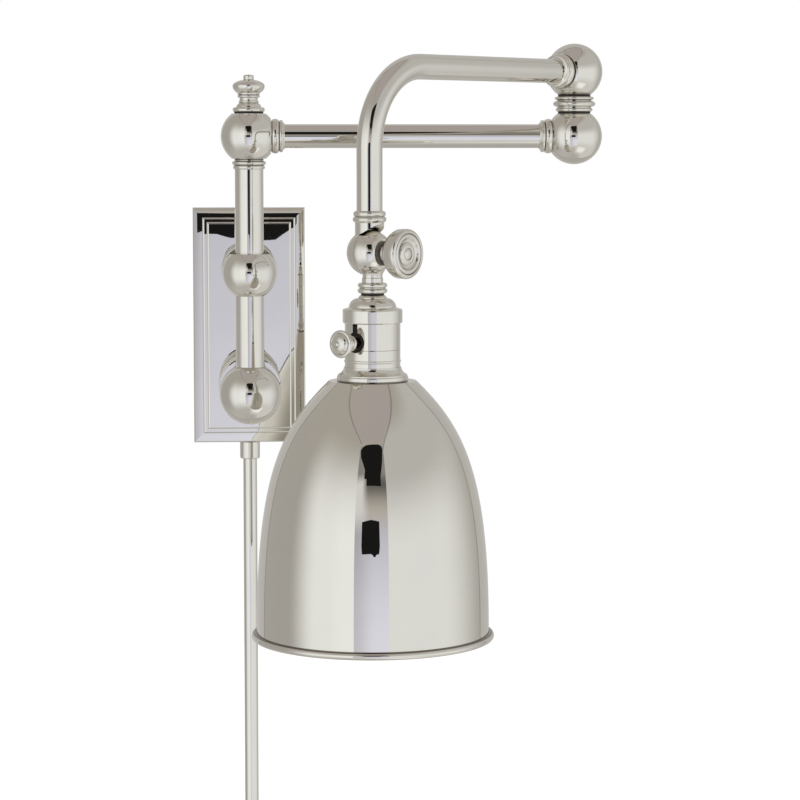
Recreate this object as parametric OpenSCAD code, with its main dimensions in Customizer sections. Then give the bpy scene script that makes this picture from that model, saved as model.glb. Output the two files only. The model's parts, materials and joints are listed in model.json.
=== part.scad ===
// Double swing arm wall lamp with a bell shade, a clamped swivel and a turn-key socket.
// The origin is on the wall, at the middle of the back plate. +Z is up, +X is to the right
// for someone who faces the wall, and the lamp stands out towards -Y.

/* [Back plate] */
// Width of the back plate
plate_w = 77; // [72:0.5:110]
// Height of the back plate
plate_h = 162; // [156:1:220]
// Height of the flat border above the wall
border_d = 15; // [14.8:0.1:18]
// Width of the flat border round the stepped moulding
border_w = 6.5; // [4:0.5:9]
// Radius of each of the two rounded steps
step_r = 1.4; // [1:0.1:1.8]
// Width of the flat tread between the two steps
tread_w = 1.7; // [1:0.1:3]
// Thickness of the plate's walls
plate_wall = 1.8; // [1.4:0.1:2.4]

/* [Wall bracket] */
// Thickness of the bracket strap
strap_t = 2; // [1.5:0.1:2.5]
// Width of the bracket strap
strap_w = 22; // [16:1:26]
// Length of the upright strap
strap_h = 108; // [102:1:120]
// Distance between the middles of the two wall screw slots
slot_spacing = 79.4; // [74:0.1:84]
// Length of each slot, end to end
slot_l = 14; // [10:0.5:16]
// Width of each slot
slot_w = 4.5; // [4:0.1:5]
// How far the bracket's ears stand off the wall
ear_d = 10.5; // [9:0.1:12]

/* [Standoffs and post] */
// Distance of the post's axis from the wall
post_d = 66; // [60:1:90]
// Outer diameter of the post tube
post_od = 19.05; // [17:0.05:20]
// Height of each standoff's axis above or below the plate's centre
standoff_z = 39; // [36:0.5:48]
// Diameter of the upper standoff and its ball
upper_standoff_od = 36.6; // [34:0.1:40]
// Diameter of the lower standoff and its ball
lower_standoff_od = 41.4; // [38:0.1:46]
// How far the lower ball hangs below its standoff's axis
lower_ball_drop = 3.5; // [0:0.1:6]
// Height of the spot-faced seat above the upper ball's centre
seat_z = 12.6; // [11:0.1:14]
// Diameter of the threaded studs inside the plate
stud_od = 8; // [7:0.5:9]
// How far each stud reaches into the plate
stud_l = 6.5; // [6:0.1:7.5]

/* [Arms] */
// Height of the lower arm's axis above the plate's centre
arm_z = 130; // [124:1:150]
// Length of the lower arm between its two vertical pivots
lower_arm_l = 218; // [190:1:260]
// Length of the upper arm from the elbow to the drop's axis
upper_arm_l = 218; // [190:1:260]
// Outer diameter of both arm tubes
arm_od = 15.875; // [14:0.005:17]
// Radius of the upper arm's bend, at the tube's middle
bend_r = 50; // [40:1:60]
// Diameter of the knuckle and elbow balls
ball_od = 37.5; // [36:0.1:40]
// Angle of the upper arm behind the lower arm, seen from above
fold_angle = 48; // [40:1:90]
// Height of the elbow's upper ball above its lower ball
elbow_rise = 42.9; // [41:0.1:48]
// Outer diameter of the hollow pivot stems
stem_od = 9.5; // [8:0.1:10]
// Bore of the hollow pivot stems
stem_id = 5; // [4:0.1:6]
// Wall thickness of the tubes
tube_wall = 1.4; // [1:0.1:2]

/* [Swivel] */
// Height of the swivel ball's centre above the plate's centre
swivel_z = 59; // [50:1:66]
// Diameter of the split swivel ball
swivel_od = 28; // [27:0.1:30]
// How far the split lies from the ball's centre
seam_off = 1; // [0.5:0.1:2]
// Gap between the two cheeks of the ball
seam_gap = 0.2; // [0.1:0.05:0.4]
// Diameter of the clamp knob
knob_od = 30.4; // [28:0.1:34]
// Distance of the clamp knob's face from the ball's centre
knob_face = 31; // [29:0.5:34]
// Diameter of the clamp stud
clamp_od = 6; // [5:0.1:6.5]
// Sideways offset of the lamp head from the ball's centre
head_off = 2.3; // [0:0.1:3]

/* [Socket] */
// Outer diameter of the socket shell
shell_od = 34; // [33.4:0.1:36]
// Thickness of the socket shell
shell_t = 0.6; // [0.5:0.1:0.9]
// Diameter of the cap's band
band_od = 36.6; // [35.8:0.1:38]
// Diameter of the shade fitter's flange
flange_od = 43.7; // [42:0.1:48]
// Depth of the key's axis below the ball's centre
key_z = 54; // [53:0.5:56]
// Diameter of the turn key's button
key_od = 17; // [14:0.5:20]
// Distance of the turn key's face from the socket's axis
key_face = 35; // [33:0.5:38]

/* [Shade] */
// Radius of the shade's shoulder
shoulder_r = 26.9; // [25:0.1:30]
// Largest radius of the shade's wall
shade_r = 71.7; // [64:0.1:80]
// Height of the shade from its shoulder to its mouth
shade_h = 156; // [145:1:170]
// Thickness of the shade's metal
shade_t = 1.2; // [1:0.1:1.6]
// Radius of the rolled bead round the mouth
bead_r = 2.2; // [1.8:0.1:3]

/* [Bulb] */
// Diameter of the bulb's glass
bulb_od = 60; // [50:1:66]
// Length of the bulb, with its cap
bulb_l = 108; // [100:1:112]

/* [Cord cover] */
// Distance of the cord cover's axis from the wall
cover_y = 7.4; // [7.2:0.1:8]
// Outer diameter of the cord cover tube
cover_od = 9.5; // [9:0.1:10.5]
// Length of the cord cover tube
cover_l = 381; // [150:1:600]
// Outer diameter of the coupling at its top
coupling_od = 13.8; // [13:0.1:14.2]
// Length of the coupling below the plate
coupling_l = 12; // [8:0.5:16]

/* [Fits] */
// Radial clearance of a turning fit
run_c = 0.06; // [0.03:0.01:0.1]
// Radial clearance of a fixed fit
fit_c = 0.05; // [0.02:0.01:0.1]

/* [Hidden] */
$fn = 96;

nickel = "#c9c3b8";
brass = "#c8a558";
steel = "#9b9ea3";
black = "#26231f";
cut = 0.5;
ball_r = ball_od / 2;
swivel_r = swivel_od / 2;
panel_d = border_d + 2 * step_r;
panel_in = panel_d - plate_wall;
washer_t = 1;
thin_washer_t = 0.6;

// The bracket's ears, the screws through them and the earth screw
ear_x = plate_w / 2 - plate_wall - 0.4;
ear_h = 16;
ear_screw_od = 4;
ear_screw_y = 6.5;
wire_hole = 12;
ground_od = 3.9;
ground_z = 18;
ground_lift = 0.1;

// The seat on the upper standoff's ball is as wide as the ball at its height
seat_r = sqrt(pow(upper_standoff_od / 2, 2) - seat_z * seat_z);

// Flats on the pivot balls, where the washers lie
pivot_flat_r = 11.3;
pivot_washer_r = 9.7;
elbow_flat_r = 10.85;
// The flats' heights are whole hundredths, so that the faces that meet there round to one height
pivot_flat = round(100 * sqrt(ball_r * ball_r - pivot_flat_r * pivot_flat_r)) / 100;
elbow_flat = round(100 * sqrt(ball_r * ball_r - elbow_flat_r * elbow_flat_r)) / 100;

// The post, from the lower ball's centre up to its collar
lower_ball_z = -standoff_z - lower_ball_drop;
collar_h = 6.5;
collar_top = arm_z - pivot_flat - thin_washer_t;
post_top = collar_top - collar_h;
stem_bottom = post_top - 10;
finial_base = arm_z + pivot_flat + washer_t;
stem_top = finial_base + 9;

// Places of the elbow and of the head
elbow_z = arm_z + elbow_rise;
rings_z = arm_z + elbow_flat + washer_t;
rings_h = elbow_rise - 2 * elbow_flat - 2 * washer_t;

pivot_depth = 4;
pivot_reach = 8;

// The swivel's clamp, measured along the knob's axis from the ball's centre
clamp_tip = -10;
clamp_face = 11;
knob_back = clamp_face + washer_t + 0.1;
clamp_end = knob_face - 8;

// Arm collars, measured from the middle of their ball
spigot_r = 6;
spigot_in = 9;
collar_seat = 14.6;
collar_end = 23.7;
tube_in = 17.5;

// Heights along the head, measured down from the swivel ball's centre
neck_top = 11;
neck_bottom = 18;
rings_bottom = 24.6;
cap_top = rings_bottom + washer_t;
dome_foot = 33.8;
shell_top = dome_foot + 1.8;
band_bottom = 42.6;
fitter_top = 69.6;
fitter_bottom = 78.2;
shell_bottom = 84.4;
shade_top = fitter_bottom;
mouth_z = shade_top + shade_h;
base_top = 43.6;
hub_top = 36.5;
base_bottom = 60;
contact_t = 0.9;
bulb_top = base_bottom + 2.4;
bulb_neck = bulb_top + 25;
bulb_neck_r = 13;
bulb_wall_t = 0.8;
drop_end = 19;

// The socket's layers, from the shell inwards
shell_r = shell_od / 2;
liner_t = 0.7;
liner_r = shell_r - shell_t - fit_c;
base_r = liner_r - liner_t - 0.15;
thread_r = 13.3;
thread_t = 0.4;
thread_h = 0.35;
pitch = 3.6;
key_stem_r = 2.6;
key_tip_r = 2.2;
key_tip = 7.3;

// Handles of the curve that the shade's wall follows
shoulder_out = 28.7;
shoulder_down = 28.1;
belly = 100;

// The cord cover tube starts inside its coupling
cover_step = 2;
cover_top = -plate_h / 2 - cover_step;
cover_t = 0.8;
cord_r = 3.2;

// Points round an arc, from angle a0 to a1
function arc(x, y, r, a0, a1, n = 6) = [
  for (i = [0:n])
    let (a = a0 + (a1 - a0) * i / n)
    [x + r * cos(a), y + r * sin(a)]
];

// Points round part of an oval, which is rx wide and ry high each way from its centre
function oval(x, y, rx, ry, a0, a1, n = 8) = [
  for (i = [0:n])
    let (a = a0 + (a1 - a0) * i / n)
    [x + rx * cos(a), y + ry * sin(a)]
];

// A rounded ring on a turned piece, from height z0 to z1, standing out from r0 to r1
function ring(z0, z1, r0, r1, n = 8) = [
  for (i = [0:n])
    let (a = 180 * i / n)
    [r0 + (r1 - r0) * sin(a), z0 + (z1 - z0) * (1 - cos(a)) / 2]
];

// One point of a cubic curve with two handles
function cubic(p, q, r, s, t) =
  pow(1 - t, 3) * p + 3 * pow(1 - t, 2) * t * q + 3 * (1 - t) * t * t * r + pow(t, 3) * s;

module turned(points) {
  rotate_extrude()
    polygon(points);
}

module tube(od, id, h) {
  difference() {
    cylinder(d = od, h = h);
    translate([0, 0, -cut])
      cylinder(d = id, h = h + 2 * cut);
  }
}

function reversed(list) = [for (i = [len(list) - 1:-1:0]) list[i]];

// Turns a piece made along +Z so that it lies along +X
module along_x() {
  rotate([0, 90, 0])
    children();
}

// Turns a piece made along +Z so that it lies along +Y
module along_y() {
  rotate([-90, 0, 0])
    children();
}

// Turns a piece made along +Z so that it lies along -Y, out of the wall
module out_of_wall() {
  rotate([90, 0, 0])
    children();
}

module at_knuckle() {
  translate([0, -post_d, arm_z])
    children();
}

module at_elbow() {
  translate([lower_arm_l, -post_d, arm_z])
    children();
}

// The upper arm's own frame: its arm runs along +X and its clamp knob points along +Y
module at_upper_arm() {
  translate([lower_arm_l, -post_d, elbow_z])
    rotate([0, 0, 180 + fold_angle])
      children();
}

// The swivel ball's centre, in the upper arm's directions
module at_swivel() {
  at_upper_arm()
    translate([upper_arm_l, 0, swivel_z - elbow_z])
      children();
}

// The lamp head's axis at the height of the swivel ball's centre
module at_head() {
  at_swivel()
    translate([0, head_off, 0])
      children();
}

// Cross-section of the plate: a chamfered border, two rounded steps and the flat panel
module plate_section(w) {
  edge = 0.8;
  first = border_w + step_r;
  second = first + step_r + tread_w;
  polygon([
    [-w / 2, 0], [w / 2, 0], [w / 2, border_d - edge], [w / 2 - edge, border_d],
    [edge - w / 2, border_d], [-w / 2, border_d - edge]
  ]);
  for (side = [-1, 1]) {
    translate([side * (w / 2 - first), border_d])
      circle(r = step_r);
    translate([side * (w / 2 - second), border_d + step_r])
      circle(r = step_r);
  }
  translate([first - w / 2, 0])
    square([w - 2 * first, border_d + step_r]);
  translate([second - w / 2, 0])
    square([w - 2 * second, panel_d]);
}

module plate_hollow() {
  inner = border_w + 2 * step_r + tread_w + plate_wall;
  w = plate_w - 2 * plate_wall;
  h = plate_h - 2 * plate_wall;
  translate([-w / 2, plate_wall - border_d, -h / 2])
    cube([w, border_d - plate_wall + cut, h]);
  translate([inner - plate_w / 2, -panel_in, inner - plate_h / 2])
    cube([plate_w - 2 * inner, panel_in, plate_h - 2 * inner]);
}

module backplate() {
  color(nickel)
    difference() {
      intersection() {
        translate([0, 0, -plate_h / 2])
          linear_extrude(plate_h)
            mirror([0, 1])
              plate_section(plate_w);
        translate([-plate_w / 2, 0, 0])
          rotate([90, 0, 90])
            linear_extrude(plate_w)
              rotate(90)
                plate_section(plate_h);
      }
      plate_hollow();
      for (z = [-standoff_z, standoff_z])
        translate([0, cut - panel_in, z])
          out_of_wall()
            cylinder(d = stud_od + 0.4, h = plate_wall + 2 * cut);
      translate([0, -cover_y, -plate_h / 2 - cut])
        cylinder(d = cover_od + 0.4, h = plate_wall + 2 * cut);
      for (side = [-1, 1])
        translate([side * (plate_w / 2 - plate_wall / 2) - plate_wall, -ear_screw_y, 0])
          along_x()
            cylinder(d = ear_screw_od + 2 * fit_c, h = 2 * plate_wall);
    }
}

module wall_bracket() {
  color(steel)
    difference() {
      union() {
        translate([-strap_w / 2, -strap_t, -strap_h / 2])
          cube([strap_w, strap_t, strap_h]);
        translate([-ear_x, -strap_t, -ear_h / 2])
          cube([2 * ear_x, strap_t, ear_h]);
        for (x = [-ear_x, ear_x - strap_t])
          translate([x, -ear_d, -ear_h / 2])
            cube([strap_t, ear_d, ear_h]);
      }
      for (z = [-slot_spacing / 2, slot_spacing / 2])
        translate([0, cut, z])
          out_of_wall() {
            reach = (slot_l - slot_w) / 2;
            for (end = [-reach, reach])
              translate([0, end, 0])
                cylinder(d = slot_w, h = strap_t + 2 * cut);
            translate([-slot_w / 2, -reach, 0])
              cube([slot_w, 2 * reach, strap_t + 2 * cut]);
          }
      translate([0, cut, 0])
        out_of_wall()
          cylinder(d = wire_hole, h = strap_t + 2 * cut);
      translate([0, cut, ground_z])
        out_of_wall()
          cylinder(d = ground_od + 2 * fit_c, h = strap_t + 2 * cut);
      for (x = [-ear_x, ear_x - strap_t])
        translate([x - cut, -ear_screw_y, 0])
          along_x()
            cylinder(d = ear_screw_od + 2 * fit_c, h = strap_t + 2 * cut);
    }
}

// The green screw that the earth wire goes under, in the strap
module ground_screw() {
  head_od = 7.6;
  head_h = 2.8;
  slot = 1;
  color("#3f8f56")
    translate([0, -ground_lift, ground_z])
      out_of_wall() {
        cylinder(d = ground_od, h = strap_t);
        translate([0, 0, strap_t - ground_lift])
          difference() {
            cylinder(d = head_od, h = head_h, $fn = 6);
            translate([-slot / 2, -head_od, head_h - slot])
              cube([slot, 2 * head_od, 2 * slot]);
          }
      }
}

// The two grub screws that hold the plate to the bracket's ears
module plate_screws() {
  screw_l = 6.2;
  color(nickel)
    for (side = [0, 180])
      rotate([0, 0, side])
        translate([plate_w / 2 - 0.2 - screw_l, side == 0 ? -ear_screw_y : ear_screw_y, 0])
          along_x()
            difference() {
              cylinder(d = ear_screw_od, h = screw_l);
              translate([0, 0, screw_l - 2])
                cylinder(d = 2.2, h = 2 + cut, $fn = 6);
            }
}

// A standoff: a bar from the plate to the post, with the ball that the post runs into
module standoff(od, z, drop) {
  difference() {
    union() {
      translate([0, -panel_d, z])
        out_of_wall()
          cylinder(d = od, h = post_d - panel_d);
      translate([0, -post_d, z - drop])
        sphere(d = od);
      translate([0, stud_l - panel_in, z])
        out_of_wall()
          cylinder(d = stud_od, h = stud_l + plate_wall + 2);
    }
    children();
    translate([0, stud_l - panel_in + cut, z])
      out_of_wall()
        cylinder(d = 4, h = post_d - panel_in + stud_l + cut);
  }
}

module lower_standoff() {
  color(nickel)
    standoff(lower_standoff_od, -standoff_z, lower_ball_drop)
      translate([0, -post_d, lower_ball_z])
        cylinder(d = post_od + 2 * fit_c, h = lower_standoff_od);
}

module upper_standoff() {
  color(nickel)
    standoff(upper_standoff_od, standoff_z, 0) {
      translate([0, -post_d, standoff_z - upper_standoff_od])
        cylinder(d = post_od + 2 * fit_c, h = 2 * upper_standoff_od);
      translate([0, -post_d, standoff_z + seat_z])
        cylinder(r = seat_r, h = upper_standoff_od);
    }
}

module standoff_nuts() {
  washer_od = 17;
  nut_od = 14.6;
  nut_h = 4.2;
  color(steel)
    for (z = [-standoff_z, standoff_z])
      translate([0, -panel_in, z])
        rotate([-90, 0, 0])
          difference() {
            union() {
              cylinder(d = washer_od, h = washer_t);
              translate([0, 0, washer_t])
                cylinder(d = nut_od, h = nut_h, $fn = 6);
            }
            translate([0, 0, -cut])
              cylinder(d = stud_od + 2 * fit_c, h = washer_t + nut_h + 2 * cut);
          }
}

module post_tube() {
  color(nickel)
    translate([0, -post_d, lower_ball_z])
      tube(post_od, post_od - 2 * tube_wall, post_top - lower_ball_z);
}

// The post's turned collar, with a plug that sits in the tube and carries the pivot stem
module post_collar() {
  r = post_od / 2;
  bore = stem_od / 2 + fit_c;
  color(nickel)
    translate([0, -post_d, post_top])
      turned(concat(
        [[bore, -8], [r - tube_wall - fit_c, -8], [r - tube_wall - fit_c, 0], [r, 0]],
        [[r + 0.5, 0.3], [r + 0.5, 2.4], [r + 0.9, 3.1]],
        ring(3.1, 5.5, r + 0.6, r + 1.8),
        [[r + 0.1, 5.8], [r, collar_h], [bore, collar_h]]
      ));
}

module pivot_stem() {
  color(brass)
    translate([0, -post_d, stem_bottom])
      tube(stem_od, stem_id, stem_top - stem_bottom);
}

module pivot_washer_lower() {
  color(black)
    translate([0, -post_d, collar_top])
      tube(2 * pivot_washer_r, stem_od + 2 * run_c, thin_washer_t);
}

module pivot_washer_upper() {
  color(black)
    translate([0, -post_d, arm_z + pivot_flat])
      tube(2 * pivot_washer_r, stem_od + 2 * run_c, washer_t);
}

// The turned finial that screws down on the stem and holds the knuckle: a ringed foot, a
// waist, a banded bowl and a round cap with a button
module finial() {
  hole = stem_od / 2 + fit_c;
  depth = stem_top - finial_base + 0.4;
  rim_z = 16.7;
  color(nickel)
    translate([0, -post_d, finial_base])
      turned(concat(
        [[hole, 0]],
        ring(0, 3.4, 9.5, 10.7),
        [[8.4, 3.6], [8.1, 4.9], [7.6, 5.3], [7, 6.5], [6.4, 7.8], [6.3, 8.7], [6.6, 9.7]],
        [[7.2, 10.1], [7.9, 10.5], [8.6, 11.7], [9.1, 13.1], [9.2, 13.7]],
        oval(0, rim_z, 10.7, 4.9, -36, 70, 14),
        [[3.1, rim_z + 4.9]],
        arc(2.1, rim_z + 6.8, 1.2, -10, 70),
        [[1.1, rim_z + 8.1], [0, rim_z + 8.2], [0, depth], [hole, depth]]
      ));
}

// The coupling between the plate and the cord cover, with a threaded spigot
module cord_cover_coupling() {
  r = coupling_od / 2;
  bore = cover_od / 2 + fit_c;
  spigot = cover_od / 2 + 0.15;
  color(nickel)
    translate([0, -cover_y, -plate_h / 2])
      turned([
        [bore, -coupling_l], [r - 0.6, -coupling_l], [r, 0.6 - coupling_l], [r, -0.4],
        [r - 0.4, 0], [spigot, 0], [spigot, 6], [cord_r, 6], [cord_r, -cover_step],
        [bore, -cover_step]
      ]);
}

// The nut that holds the coupling inside the plate
module cord_cover_nut() {
  color(steel)
    translate([0, -cover_y, plate_wall - plate_h / 2])
      difference() {
        cylinder(d = 13, h = 3, $fn = 6);
        translate([0, 0, -cut])
          cylinder(d = cover_od + 0.3 + 2 * fit_c, h = 4);
      }
}

module cord_cover_tube() {
  color(nickel)
    translate([0, -cover_y, cover_top - cover_l])
      tube(cover_od, cover_od - 2 * cover_t, cover_l);
}

// The smooth bush in the cover tube's lower end, which keeps the cord off its edge
module cord_cover_bushing() {
  r = cover_od / 2;
  out_r = r - cover_t - fit_c;
  lip = 0.9;
  color(black)
    translate([0, -cover_y, cover_top - cover_l])
      turned(concat(
        [[cord_r, 5], [cord_r, -1.3 * lip]],
        arc(r + 0.3 - lip, -lip, lip, -110, -10, 4),
        [[r + 0.3, 0], [out_r, 0], [out_r, 5]]
      ));
}

// A pivot ball with its flat faces; the children are cut away from it
module pivot_ball(flat_up, flat_down) {
  difference() {
    sphere(d = ball_od);
    translate([0, 0, flat_up])
      cylinder(d = ball_od, h = ball_od);
    translate([0, 0, -flat_down - ball_od])
      cylinder(d = ball_od, h = ball_od);
    children();
  }
}

// The flat and the hole in a ball's side, where an arm collar sits
module collar_socket() {
  along_x() {
    translate([0, 0, collar_seat])
      cylinder(d = ball_od, h = ball_od);
    translate([0, 0, spigot_in])
      cylinder(r = spigot_r + fit_c, h = ball_od);
    cylinder(d = stem_id, h = ball_od);
  }
}

// The turned collar between a ball and an arm tube, along +X from the ball's centre
module arm_collar() {
  r = arm_od / 2;
  along_x()
    turned(concat(
      [[stem_id / 2, spigot_in], [spigot_r, spigot_in], [spigot_r, collar_seat]],
      [[r + 2.5, collar_seat], [r + 2.4, 15.2]],
      ring(15.2, 19.8, r + 2.5, r + 3.6),
      ring(20.2, 22.6, r + 2, r + 2.8),
      [[r + 1.2, 22.9], [r + 0.6, collar_end], [r + fit_c, collar_end]],
      [[r + fit_c, tube_in], [stem_id / 2, tube_in]]
    ));
}

module knuckle_ball() {
  color(nickel)
    at_knuckle()
      pivot_ball(pivot_flat, pivot_flat) {
        translate([0, 0, -ball_od])
          cylinder(d = stem_od + 2 * run_c, h = 2 * ball_od);
        collar_socket();
      }
}

module inner_arm_collar() {
  color(nickel)
    at_knuckle()
      arm_collar();
}

module lower_arm_tube() {
  color(nickel)
    at_knuckle()
      translate([tube_in, 0, 0])
        along_x()
          tube(arm_od, arm_od - 2 * tube_wall, lower_arm_l - 2 * tube_in);
}

module outer_arm_collar() {
  color(nickel)
    at_elbow()
      rotate([0, 0, 180])
        arm_collar();
}

module elbow_lower_ball() {
  color(nickel)
    at_elbow()
      pivot_ball(elbow_flat, ball_r + cut) {
        translate([0, 0, -pivot_depth])
          cylinder(d = stem_od + 2 * fit_c, h = ball_od);
        rotate([0, 0, 180])
          collar_socket();
      }
}

// The hollow pivot that is fixed in the lower ball and turns in the upper one
module elbow_pivot() {
  color(brass)
    at_elbow()
      translate([0, 0, -pivot_depth])
        tube(stem_od, stem_id, pivot_depth + elbow_rise + pivot_reach);
}

module elbow_washer() {
  tube(2 * elbow_flat_r, stem_od + 2 * run_c, washer_t);
}

module elbow_washer_lower() {
  color(black)
    translate([lower_arm_l, -post_d, arm_z + elbow_flat])
      elbow_washer();
}

module elbow_washer_upper() {
  color(black)
    translate([lower_arm_l, -post_d, rings_z + rings_h])
      elbow_washer();
}

// The ringed spacer between the two balls
module elbow_rings() {
  hole = stem_od / 2 + run_c;
  core = elbow_flat_r + 0.6;
  color(nickel)
    translate([lower_arm_l, -post_d, rings_z])
      turned(concat(
        [[hole, 0], [elbow_flat_r, 0]],
        ring(0.2, 0.24 * rings_h, core, core + 0.9),
        ring(0.32 * rings_h, 0.7 * rings_h, core, core + 2.7),
        ring(0.76 * rings_h, rings_h - 0.2, core, core + 1.7),
        [[elbow_flat_r, rings_h], [hole, rings_h]]
      ));
}

module elbow_upper_ball() {
  color(nickel)
    at_upper_arm()
      pivot_ball(ball_r + cut, elbow_flat) {
        translate([0, 0, -ball_od])
          cylinder(d = stem_od + 2 * run_c, h = ball_od + pivot_reach + 0.4);
        collar_socket();
      }
}

module upper_arm_collar() {
  color(nickel)
    at_upper_arm()
      arm_collar();
}

// The upper arm: a straight run, a quarter bend and the drop, bent from one tube
module upper_arm_run(od) {
  translate([tube_in, 0, 0])
    along_x()
      cylinder(d = od, h = upper_arm_l - bend_r - tube_in);
  translate([upper_arm_l - bend_r, 0, -bend_r])
    along_y()
      rotate([0, 0, -90])
        rotate_extrude(angle = 90)
          translate([bend_r, 0])
            circle(d = od);
  translate([upper_arm_l, 0, swivel_z - elbow_z + drop_end])
    cylinder(d = od, h = elbow_z - swivel_z - drop_end - bend_r);
}

module upper_arm_tube() {
  color(nickel)
    at_upper_arm()
      difference() {
        upper_arm_run(arm_od);
        upper_arm_run(arm_od - 2 * tube_wall);
      }
}

// Half of the swivel ball on one side of the split: -1 is the arm's cheek, 1 the head's
module cheek(side) {
  intersection() {
    sphere(d = swivel_od);
    translate([-swivel_od, side > 0 ? seam_gap / 2 - seam_off : -swivel_od, -swivel_od])
      cube([
        2 * swivel_od,
        side > 0 ? 2 * swivel_od : swivel_od - seam_off - seam_gap / 2,
        2 * swivel_od
      ]);
  }
}

// The fitting on the drop: two rings and a skirt, cast with the fixed cheek of the ball.
// The skirt is cut in an arch, coaxial with the clamp, so that the head's cheek can turn.
module drop_fitting() {
  r = arm_od / 2;
  arch_near = swivel_r + 0.4;
  arch_far = 18.2;
  arch_l = 12;
  color(nickel)
    at_swivel()
      difference() {
        union() {
          turned(concat(
            [[0, 8], [r + 0.95, 8], [r + 0.95, 18.4], [r + 1.3, 18.7]],
            ring(18.9, 21.9, r + 1.4, r + 2.4),
            ring(22.3, 25.2, r + 1.2, r + 2),
            [[r + 0.5, 25.6], [0, 25.6]]
          ));
          cheek(-1);
        }
        translate([0, 0, drop_end])
          cylinder(r = r + fit_c, h = 20);
        translate([0, seam_gap / 2 - seam_off - seam_gap, 0])
          along_y()
            cylinder(r1 = arch_near, r2 = arch_far, h = arch_l);
        translate([0, clamp_tip, 0])
          along_y()
            cylinder(d = clamp_od + 2 * run_c, h = swivel_od);
      }
}

// The head's cheek of the ball, with the neck that carries the socket
module head_fitting() {
  neck_r = 6.5;
  neck = [
    [0, -neck_bottom], [neck_r, -neck_bottom], [neck_r, 2.6 - neck_bottom],
    [neck_r - 0.4, 3 - neck_bottom], [neck_r - 0.4, -neck_top - 2.4],
    [neck_r, -neck_top - 1.2], [neck_r + 1, -neck_top], [neck_r, 4 - neck_top],
    [0, 4 - neck_top]
  ];
  color(nickel)
    at_swivel()
      difference() {
        union() {
          cheek(1);
          translate([0, head_off, 0])
            turned(neck);
          translate([0, head_off, -cap_top - 6])
            cylinder(d = stem_od, h = cap_top + 6 - neck_bottom + cut);
        }
        translate([0, clamp_face, 0])
          along_y()
            cylinder(d = swivel_od, h = swivel_od);
        along_y()
          translate([0, 0, -swivel_od])
            cylinder(d = clamp_od + 2 * run_c, h = 2 * swivel_od);
        intersection() {
          sphere(r = swivel_r + 0.3);
          translate([-swivel_od, seam_gap / 2 - seam_off - swivel_od, -swivel_od])
            cube([2 * swivel_od, swivel_od, 2 * swivel_od]);
        }
        translate([0, head_off, -cap_top - 7])
          cylinder(d = stem_id, h = cap_top);
      }
}

module clamp_washer() {
  color(black)
    at_swivel()
      translate([0, clamp_face, 0])
        along_y()
          tube(15, clamp_od + 2 * run_c, washer_t);
}

// The clamp knob: a neck, a round back and a face with a rolled rim, a raised ring, a cove
// and a rounded boss with a button at its centre
module clamp_knob() {
  r = knob_od / 2;
  hole = clamp_od / 2 + fit_c;
  rim = 2.2;
  ring_r = r - 4.3;
  boss = 7.2;
  color(nickel)
    at_swivel()
      along_y()
        turned(concat(
          [[hole, knob_back], [6, knob_back], [6, 16.2], [8.4, 17.4], [11.6, 19.2]],
          [[r - 1.4, 21.4], [r - 0.2, 23.6]],
          arc(r - rim, knob_face - 2.4, rim, 0, 84),
          [[r - rim - 0.4, knob_face - 0.5], [r - rim - 0.6, knob_face - 1.1]],
          oval(ring_r, knob_face - 1.1, 1.4, 0.9, 10, 170, 8),
          [[ring_r - 1.7, knob_face - 1.5], [ring_r - 2.4, knob_face - 2]],
          [[boss + 0.4, knob_face - 2.2]],
          oval(boss - 2.6, knob_face - 2.2, 2.6, 1.7, 0, 110, 7),
          [[3.6, knob_face - 1]],
          oval(0, knob_face - 1, 3.3, 1, 15, 90, 6),
          [[0, clamp_end], [hole, clamp_end]]
        ));
}

module clamp_stud() {
  color(brass)
    at_swivel()
      translate([0, clamp_tip + 0.5, 0])
        along_y()
          cylinder(d = clamp_od, h = clamp_end - clamp_tip - 0.5);
}

module neck_collar() {
  hole = stem_od / 2 + fit_c;
  color(nickel)
    at_head()
      translate([0, 0, -rings_bottom])
        turned(concat(
          [[hole, 0], [7.6, 0]],
          ring(0.1, 3, 7.9, 9.1),
          ring(3.5, 6.3, 7.9, 9),
          [[6.9, 6.6], [hole, 6.6]]
        ));
}

module socket_washer() {
  color(black)
    at_head()
      translate([0, 0, -cap_top])
        tube(14.2, stem_od + 2 * fit_c, washer_t);
}

// The cap: a dome spun over the neck, a sloped shoulder and the band that grips the shell
module socket_cap() {
  hole = stem_od / 2 + fit_c;
  in_r = shell_r + fit_c;
  out_r = band_od / 2;
  color(nickel)
    at_head()
      turned(concat(
        [[hole, -cap_top], [7.2, -cap_top]],
        arc(6.5, -cap_top - 2.2, 2.2, 60, 0, 4),
        arc(8.2, -dome_foot, 6.4, 72, 6, 8),
        [[out_r - 2.8, -dome_foot + 0.2], [out_r - 0.7, -dome_foot - 0.4]],
        [[out_r - 0.2, -dome_foot - 0.7], [out_r, -dome_foot - 1.2]],
        [[out_r, 0.5 - band_bottom], [out_r - 0.4, -band_bottom], [in_r, -band_bottom]],
        [[in_r, -dome_foot - 1.4]],
        arc(8, -dome_foot - 0.8, 5.4, 6, 78, 6),
        [[hole, -cap_top - 3]]
      ));
}

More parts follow.
